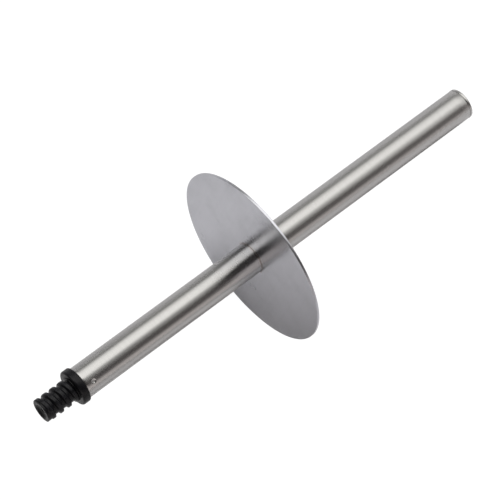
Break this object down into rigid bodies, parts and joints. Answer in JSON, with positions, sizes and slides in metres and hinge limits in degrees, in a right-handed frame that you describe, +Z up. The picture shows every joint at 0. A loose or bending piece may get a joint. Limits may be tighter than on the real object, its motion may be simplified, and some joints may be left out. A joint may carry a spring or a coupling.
{
  "type": "brush handle with lid disc",
  "caption": "Straight stainless tube handle with a flat round lid disc, an end cap and a coarse plastic thread that screws into a brush head.",
  "frame": {"origin": "on the table that the handle lies on, under the middle of its bounding box", "axes": "+X along the handle's length towards the grip end, +Z up from the table; the handle's own axis leans 15.6 degrees, thread end up, as it lies on the lid's rim and the end cap's edge"},
  "size_m": [0.2564, 0.0924, 0.0891],
  "materials": {
    "tube_steel": "brushed round the tube",
    "sheet_steel": "bright rolled sheet",
    "weld_steel": "weld bead with heat tint",
    "black_plastic": "moulded, semi-gloss"
  },
  "bodies": {
    "root": {"handle_tube": "tube_steel", "end_cap": "tube_steel", "lid_disc": "sheet_steel", "lid_weld": "weld_steel", "threaded_plug": "black_plastic"}
  },
  "joints": []
}
